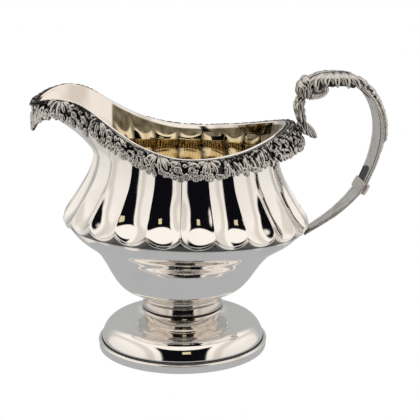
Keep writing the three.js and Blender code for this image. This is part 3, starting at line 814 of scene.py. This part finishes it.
class Curve:
    """A curve in the handle's plane; out points to the left of the way it runs."""

    def __init__(self, points):
        self.fine = curve_through(points, 24)
        self.place = running(step_lengths(self.fine))
        self.length = self.place[-1]
        self.along = unit(np.gradient(self.fine, axis=0))

    def at(self, s, side, out):
        """Points s along the curve, side across the handle's plane and out from the curve."""
        x, z = lookup(s, self.place, self.fine)
        ax, az = lookup(s, self.place, self.along)
        beyond = s - np.clip(s, 0, self.length)
        return xyz(x + ax * beyond - az * out, side, z + az * beyond + ax * out)


BODY_UNDER = 0.95  # how far a cast body lies inside its stations' width and height, to leave room for relief
ROUND = [(math.sin(a), math.cos(a)) for a in np.linspace(0, math.pi, 17)]
DRAPED = [
    (0, 1), (0.25, 0.98), (0.5, 0.9), (0.72, 0.7), (0.88, 0.4), (0.97, 0.05), (1, -0.35), (0.99, -0.7),
    (0.94, -1),
]


def cast_body(name, node, points, half, thick, lift, decorate, section=ROUND):
    """A cast piece: a body along a curve, with relief bent over it.

    half, thick and lift are stations (share of the way, mm): half the width across the handle, half the
    height, and how far the body's middle lies off the curve. section runs from its outermost line down
    one side, in shares of half and thick. decorate adds the relief, drawn flat, v measured the same way.
    """
    curve = Curve(points)
    relief = Ornament()
    outline = np.array(section, float)
    turns = np.abs(np.diff(outline, axis=0)).sum(0)
    share_down = running(step_lengths(outline * (1.6, 1)))
    share_down /= share_down[-1]
    slope = np.gradient(outline, share_down, axis=0)

    def bend(s, v, h):
        share = np.clip(s / curve.length, 0, 1)
        w, t = interpolate(half, share), interpolate(thick, share)
        q = np.clip(np.abs(v) / (0.85 * (w * turns[0] + t * turns[1])), 0, 1)
        across, out = lookup(q, share_down, outline)
        slope_w, slope_t = lookup(q, share_down, slope)
        normal = unit(np.stack([-t * slope_t, w * slope_w], -1))
        side = np.where(v < 0, -1, 1) * (w * across + normal[..., 0] * h)
        return curve.at(s, side, interpolate(lift, share) + t * out + normal[..., 1] * h)

    steps = max(8, round(curve.length * 2.5))
    end = 0.1 * curve.length
    s = np.linspace(0, curve.length, steps)[:, None]
    nearness = np.clip(np.maximum(end - s, s - curve.length + end), 0, end) / end
    rounding = np.sqrt(np.clip(1 - nearness**2, 0.2, 1))
    other_side = (outline * (-1, 1))[::-1][: len(outline) - (section is ROUND)]
    across, out = np.vstack([outline, other_side]).T[:, None]
    share = s / curve.length
    w = (interpolate(half, share) - BODY_UNDER) * rounding
    t = (interpolate(thick, share) - BODY_UNDER) * rounding
    body = curve.at(s + 0 * across, w * across, interpolate(lift, share) + t * out).reshape(-1, 3)
    group = Group()
    group.add(body, capped_faces(steps, across.shape[1]))
    decorate(relief, curve.length)
    flat = np.vstack(relief.points)
    group.add(bend(*flat.T), relief.faces)
    recess = np.concatenate([np.full(len(body), 0.75), smooth((-flat[:, 2] - 0.45) / 0.9)])
    points = on_handle(np.vstack(group.points))
    make_piece(name, "cast_silver", node, points, group.faces, cast, {"recess": recess})


def over(side):
    """The heading of a finger that lies straight over one side of a handle piece."""
    return 0 if side > 0 else 180


def stem_leaves(o, length):
    """A long leaf up each side over rows of small ones, darker towards the inside of the loop."""
    for row in range(4):
        for k in range(-4, 5):
            v = (k + 0.5 * (row % 2)) * 2.1
            o.finger(0.2 + row * length / 4.3, v, 90 - 9 * k, 4.4, 1.8, 5, -0.3 - 0.12 * abs(k), -1.3)
    for side in (-1, 1):
        o.finger(0.32 * length, side * 3.2, 90 - side * 4, 8.2, 3.4, side * 6, 0.35, -0.5)
        o.finger(-0.02 * length, side * 3.4, 90 + side * 6, 5, 2.4, side * 14, 0.25, -0.6)
        o.finger(0.6 * length, side * 6.6, 90 + side * 24, 5, 1.5, -side * 30, 0.1, -0.9)


def spur_leaves(o, length):
    o.finger(0, 0, 90, length * 1.05, 1.8, 0, 0.2, -0.5)
    for side in (-1, 1):
        for k in range(1, 4):
            o.finger(0, side * 1.4 * k, 90 - side * 4 * k, length * 1.02, 1.6, 0, -0.8, -1.1)


def knot_leaves(o, length):
    """Two leaf rolls one over the other, above finger leaves that sweep up from the stem."""
    for share, width in ((0.93, 3.0), (0.62, 2.6)):
        for side in (-1, 1):
            o.finger(share * length, 0, over(side) - side * 14, 7.6, width, side * 16, 0.2, -0.3)
    for side in (-1, 1):
        for k in range(5):
            o.finger(-0.4, side * (2 + 1.9 * k), 90 - side * 12, 4.6 + 0.6 * k, 1.7, side * 26, 0.1, -0.9)
        for k in range(3):
            spot = length * (0.35 + 0.2 * k)
            o.finger(spot, side * 8.4, side * 110, 4, 1.6, -side * 40, 0.1, -0.8)


def crown_fingers(o, length):
    """An acanthus leaf: a midrib and lobes of three fingers that hang over both sides."""
    o.strand(np.linspace(0, 0.85 * length, 24), np.zeros(24), -0.9, 0.5, 0.7)
    rng = np.random.default_rng(8)
    count = 6
    for k in range(count):
        share = k / (count - 1)
        s = (0.24 + 0.58 * share) * length
        lean = lerp(-62, 16, share)
        for side in (-1, 1):
            for off, reach, width, top in ((-18, 0.74, 2.0, -0.5), (0, 1, 3.1, 0.1), (17, 0.8, 1.9, -0.4)):
                heading = over(side) + side * (lean + off)
                size = lerp(8.5, 11.5, smooth(share * 4)) * reach * rng.uniform(0.88, 1.04)
                o.finger(s, side * rng.uniform(0.6, 2.2), heading, size, width, side * 22, top, -1.0)


def bud_lobes(o, length):
    """Two round lobes on each side over a row of knobs."""
    for side in (-1, 1):
        for share, radius in ((0.1, 2.5), (0.75, 2.3)):
            o.bead(share * length, side * 3.6, radius, 0.35)
            root = (share - 0.3) * length
            o.finger(root, side * 0.4, over(side) + side * 40, 8, 1.8, -side * 40, -0.3, -0.9)
        for share in (-0.05, 0.25, 0.55, 0.85):
            o.bead(share * length, side * 7.7, 1.15, 0.15)


def foliage_lobes(o, length):
    """Pairs of rounded leaves and beads down the strap, then one plain pointed leaf."""
    rng = np.random.default_rng(5)
    rows = 10
    for k in range(rows):
        s = (k - 0.2) * 0.74 * length / rows
        for side in (-1, 1):
            reach = 6.8 * rng.uniform(0.94, 1.06)
            aim = over(side)
            o.finger(s, side * 0.4, aim + side * 34, reach, 2.0, -side * 34, rng.uniform(-0.1, 0.2), -0.7)
            o.finger(s + 0.9, side * 0.4, aim + side * 55, reach * 0.6, 1.3, -side * 20, -0.1, -0.9)
            o.bead(s + 1, side * rng.uniform(7.8, 8.6), rng.uniform(0.85, 1.1), 0.35)
        o.bead(s, 0, 1.1, 0.5)
    o.finger(0.7 * length, 0, 90, 0.32 * length, 5.6, 0, 0.0, -0.9)


def make_strap(name, node, points, half, thickness, joins_at_end):
    """A flat strap with a fine groove inside along each edge, with painted shade where it goes into the
    collar.

    joins_at_end says that the collar is at its end; the strap that starts there darkens again at its end.
    """
    curve = Curve(points)
    steps = round(curve.length * 2)
    s = np.linspace(0, curve.length, steps)[:, None]
    w = interpolate(half, s / curve.length)
    deep = 0.16  # the groove's bottom
    inner = [(0.3, 0.06), (0.62, 0.02), (0.68, deep), (0.8, deep), (0.86, 0), (0.93, 0), (0.98, 0.08)]
    inner += [(1, 0.3)]
    outer = [(1, 0.6), (0.95, 0.85), (0.8, 0.97), (0.4, 1)]
    section = [(-a, o) for a, o in inner[::-1]] + [(0, 0.08)] + inner
    section += outer + [(0, 1)] + [(-a, o) for a, o in outer[::-1]]
    across, out = np.array(section).T[:, None]
    points = curve.at(s, w * across, thickness * out)
    faces = [face[::-1] for face in capped_faces(steps, len(section))]

    to_collar = s - curve.length + 8 if joins_at_end else 4 - s
    # Painted shade on the strap's inner face where it goes into the collar.
    collar_shade = smooth(to_collar / 1.5 - 1.2 * across**2) * smooth((across + 0.45) / 0.2) * (out < 0.5)
    far_end = 0 if joins_at_end else 0.45 * smooth((s - curve.length + 6) / 5)
    groove = 0.85 * ((out == deep) & (across < 0)) * smooth((s / curve.length - 0.3) / 0.2)
    recess = np.maximum(np.maximum(groove, collar_shade), far_end).ravel()
    make_piece(name, "strap_silver", node, on_handle(points), faces, cast_strap, {"recess": recess})


def make_collar():
    """The band round the joint of the two straps: a rounded wall swept round a rounded oblong."""
    start, end = np.array(STRAP[-2]), np.array(LOWER_STRAP[1])
    along = unit(end - start)
    out = np.array((-along[1], along[0]))
    middle = np.array(LOWER_STRAP[0]) + along
    w, low, high, corner = 7.85, -0.85, STRAP_THICKNESS + 0.85, 1.1
    ring = []
    for x, z, turn in ((w, high, 0), (-w, high, 90), (-w, low, 180), (w, low, 270)):
        x -= math.copysign(corner, x)
        z -= math.copysign(corner, z - STRAP_THICKNESS / 2)
        for a in np.radians(np.linspace(turn, turn + 90, 7)):
            c, sn = math.cos(a), math.sin(a)
            ring.append((x + corner * c, z + corner * sn, c, sn))
    ring = np.array(ring)
    half_length, wall = 2.4, 1.0
    section = [
        (-half_length + 0.35, 0), (-half_length + 0.08, -0.1), (-half_length, -0.35), (-half_length, -wall),
        (half_length, -wall), (half_length, -0.35), (half_length - 0.08, -0.1), (half_length - 0.35, 0),
        (0, 0.12),
    ]
    rows = []
    for way, off in section:
        side = ring[:, 0] + ring[:, 2] * off
        n = ring[:, 1] + ring[:, 3] * off
        spot = middle + along * way
        rows.append(xyz(spot[0] + out[0] * n, side, spot[1] + out[1] * n))
    faces = grid_faces(len(section) + 1, len(ring)) % (len(section) * len(ring))
    make_piece("collar_band", "strap_silver", "handle_collar", on_handle(rows), faces, worn)


def make_volute():
    """The bright scroll inside the loop, a strip with rolled edges that winds up on itself."""
    curve = Curve([
        (53.2, 108), (55.6, 108.1), (58, 108.8), (59.4, 110.4),
        (58.8, 112.1), (56.8, 112.7), (55.2, 111.8), (55.4, 110.5), (56.8, 110.3),
    ])
    s = np.linspace(0, curve.length, 70)
    share = s / curve.length
    half = 5 - 1.5 * share
    group = Group()
    group.add(*tube(curve.at(s, 0 * s, 0 * s), (0, 1, 0), 0.34, half, 16))
    for side in (-1, 1):
        group.add(*tube(curve.at(s, side * (half - 0.25), 0 * s), (0, 1, 0), 1.2 - 0.4 * share, 1.2, 12))
    points = on_handle(np.vstack(group.points))
    # Its silver is the lighter copy of the cast silver, painted light.
    make_piece("volute_scroll", "polished_silver", "handle_volute", points, group.faces, bright)


def make_bead():
    strap = Curve(STRAP)
    t = np.linspace(-0.98, 0.98, 13)
    r = 0.9
    s = 0.79 * strap.length
    path = strap.at(s + r * t, 0 * t, STRAP_THICKNESS + GAP + r + 0 * t)
    points, faces = tube(path, (0, 1, 0), r * np.sqrt(1 - t**2), r * np.sqrt(1 - t**2), 16)
    make_piece("tip_bead", "cast_silver", "handle_tip_bead", on_handle(points), faces, cast)


def make_terminal_leaf():
    """The leaf that ends the lower strap, lying along the bowl: a raised midrib and soft veins."""
    top, drop, rows, columns = 52.2, 13.7, 40, 25
    f = np.linspace(0, 1, rows)[:, None]
    height = top - drop * f
    below = oval_point(height - 0.2, 0, 0)
    above = oval_point(height + 0.2, 0, 0)
    along = unit(above - below)
    out = xyz(along[..., 2], 0, -along[..., 0])
    width = 0.5 + 3.6 * np.sin(math.pi * (0.35 + 0.62 * f)) ** 0.8
    u = np.linspace(-1, 1, columns)[None]
    sag = (width * u) ** 2 / 2 / interpolate(HALF_LENGTH, height)
    edge = np.sqrt(np.clip(1 - u**2, 0, 1)) ** 0.6
    rib = 0.3 * np.exp(-((u * width) / 0.5) ** 2)
    vein = 0.12 * np.cos(5.5 * (np.abs(u) * width + 9 * f))
    thick = (1.0 - 0.5 * f) * edge + (rib + vein) * edge
    base = oval_point(height, 0, 0)

    def surface(n):
        return base + out * n[..., None] + (0, 1, 0) * (width * u)[..., None]

    upper = surface(GAP + 0.1 - sag + np.maximum(thick, 0.02))
    lower = surface(GAP + 0.1 - sag - 0.02)
    points = np.concatenate([lower, upper[:, ::-1]], 1)
    faces = capped_faces(rows, 2 * columns)
    make_piece("terminal_leaf_skin", "strap_silver", "handle_terminal_leaf", points, faces, worn)


def make_handle():
    """Every piece of the handle, with its own curve and its own stations of width, height and lift."""
    cast_body(
        "stem_cast", "handle_stem", [(51.7, 92.6), (50, 99), (49.4, 103.2), (49.8, 107.2)],
        [(0, 4), (1, 4.8)], [(0, 2.2), (1, 2.5)], [(0, 0), (1, 0)], stem_leaves,
    )
    cast_body(
        "root_spur_cast", "handle_root_spur", [(50.2, 94.6), (52.2, 92.9), (54.1, 91.3), (55.9, 89.7)],
        [(0, 4.2), (1, 1.4)], [(0, 3), (0.6, 2.1), (1, 1)], [(0, 0), (1, 0)], spur_leaves,
    )
    cast_body(
        "knot_cast", "handle_knot_curl", [(50.9, 107.4), (50.6, 110.4), (51.2, 112.8), (53, 114.8)],
        [(0, 4.9), (1, 4.4)], [(0, 3.1), (0.5, 4.1), (1, 3)],
        [(0, -0.3), (0.5, -0.9), (1, -0.6)], knot_leaves,
    )
    make_volute()
    cast_body(
        "crown_cast", "handle_crown_leaf",
        [(53.4, 111.6), (57.8, 113.9), (62, 114.4), (67, 114.4), (72.6, 113)],
        [(0, 5), (0.4, 7.6), (1, 7.2)], [(0, 3.4), (1, 3.4)], [(0, 0.5), (1, 0.3)], crown_fingers, DRAPED,
    )
    cast_body(
        "joint_bud_cast", "handle_joint_bud", [(72.8, 111.5), (75.8, 109.1), (78, 106.4)],
        [(0, 7), (1, 6.8)], [(0, 3), (1, 2.6)], [(0, 1.5), (1, 1.6)], bud_lobes, DRAPED,
    )
    cast_body(
        "outer_foliage_cast", "handle_outer_foliage", [(77.8, 106.8), *STRAP[4:8], (81, 83.4)],
        [(0, 8.2), (0.7, 8.2), (0.85, 4.6), (1, 1.4)], [(0, 1.7), (0.7, 1.6), (1, 1.2)],
        [(0, 1.8), (0.7, 1.7), (1, 2.1)], foliage_lobes, DRAPED,
    )
    make_bead()
    widths = [(0, 4.6), (0.12, 4.6), (0.32, 8.7), (0.55, 8.6), (0.9, 7), (1, 7)]
    make_strap("strap_upper_skin", "handle_strap_upper", STRAP, widths, STRAP_THICKNESS, True)
    make_collar()
    widths = [(0, 6.8), (0.5, 5.2), (1, 3.3)]
    make_strap("strap_lower_skin", "handle_strap_lower", LOWER_STRAP, widths, 1.1, False)
    make_terminal_leaf()


make_foot()
make_bowl()
make_border()
make_handle()

# ---- studio ----


def make_camera():
    data = bpy.data.cameras.new("camera")
    camera = bpy.data.objects.new("camera", data)
    bpy.context.scene.collection.objects.link(camera)
    azimuth, pitch, distance, height, aside = -3.0, 15.03, 520.0, 199.2, 11.84
    a = math.radians(azimuth)
    ahead = Vector((-math.sin(a), math.cos(a), 0))
    side = Vector((math.cos(a), math.sin(a), 0))
    spot = Vector((FOOT_X, 0, height)) - ahead * distance + side * aside
    camera.location = spot * MM
    camera.rotation_euler = (math.radians(90 - pitch), 0, a)
    data.sensor_width = 36
    data.lens = 109.47
    data.clip_start = 0.01
    data.clip_end = 20
    bpy.context.scene.camera = camera


def glowing(name, colour, strength):
    """A material that only gives light."""
    return Shader(name).principled({
        "Base Color": (0, 0, 0, 1), "Roughness": 1.0, "Specular IOR Level": 0.0,
        "Emission Color": (*colour, 1), "Emission Strength": strength,
    })


def panel(name, corners, material, seen):
    """A flat panel that the camera sees, or else one that only lights the jug and shows in its silver."""
    mesh = bpy.data.meshes.new(name)
    mesh.from_pydata([tuple(c * MM for c in corner) for corner in corners], [], [tuple(range(len(corners)))])
    mesh.materials.append(material)
    piece = bpy.data.objects.new(name, mesh)
    bpy.context.scene.collection.objects.link(piece)
    piece.visible_camera = seen
    piece.visible_glossy = not seen
    piece.visible_diffuse = not seen
    piece.visible_shadow = False


def make_studio():
    far, low = 6000, -0.5
    corners = [(-far, -far, low), (far, -far, low), (far, far, low), (-far, far, low)]
    panel("floor", corners, glowing("floor_white", (1, 1, 1), 1.0), True)
    radius, low = 84, -0.6
    turn = np.linspace(0, 2 * math.pi, 64, endpoint=False)
    corners = [(FOOT_X + radius * math.cos(a), radius * math.sin(a), low) for a in turn]
    panel("table", corners, glowing("table_white", (0.97, 0.99, 1.02), 0.47), False)


LOW_TENT = (0.84, 0.8, 0.76)
HIGH_TENT = (1.04, 0.98, 0.92)
SEAM = (0.5, 0.44, 0.38)
BEHIND = (0.46, 0.47, 0.47)
FLOOR = (0.44, 0.45, 0.46)
GAP_DARK = (0.004, 0.004, 0.006)
LAMP = (0.75, 0.66, 0.42)


def make_world():
    """What the silver reflects, by direction; the camera itself sees white.

    It is a white tent with a soft seam to each side and grey behind the jug. Its front is open: a dark gap
    with a small lamp in it, over grey floor.
    """
    world = bpy.data.worlds.new("studio")
    bpy.context.scene.world = world
    world.use_nodes = True
    w = NodeTree(world.node_tree)
    split = w.add("SeparateXYZ", {0: w.add("TexCoord", {})["Generated"]})
    x, y, z = split["X"], split["Y"], split["Z"]
    lateral = w.math("ABSOLUTE", x)
    front = w.both(w.range(y, 0.3, 0.2), w.range(lateral, 0.53, 0.47))
    gap = w.both(front, w.both(w.range(z, 0.83, 0.8), w.range(z, -0.42, -0.34)))
    floor = w.both(front, w.range(z, -0.34, -0.42))
    seam = w.both(w.range(lateral, 0.6, 0.68), w.range(lateral, 0.84, 0.74))
    behind = w.both(w.range(y, 0.55, 0.8), w.range(z, 0.9, 0.6))
    lamp_side = w.range(w.math("ABSOLUTE", w.math("SUBTRACT", x, 0.06)), 0.09, 0.085)
    lamp_height = w.both(w.range(z, 0.52, 0.525), w.range(z, 0.7, 0.695))
    lamp = w.both(w.both(lamp_side, w.range(y, 0, -0.1)), lamp_height)
    colour = w.mix(w.range(z, -0.3, 0.8), LOW_TENT, HIGH_TENT)
    colour = w.mix(w.both(seam, 0.5), colour, SEAM)
    colour = w.mix(behind, colour, BEHIND)
    colour = w.mix(floor, colour, FLOOR)
    colour = w.mix(gap, colour, w.mix(lamp, GAP_DARK, LAMP))
    seen = w.add("LightPath", {})["Is Camera Ray"]
    w.put(w.nodes["Background"].inputs["Color"], w.mix(seen, colour, (1, 1, 1)))


make_camera()
make_studio()
make_world()
bpy.context.scene.view_settings.view_transform = "Standard"
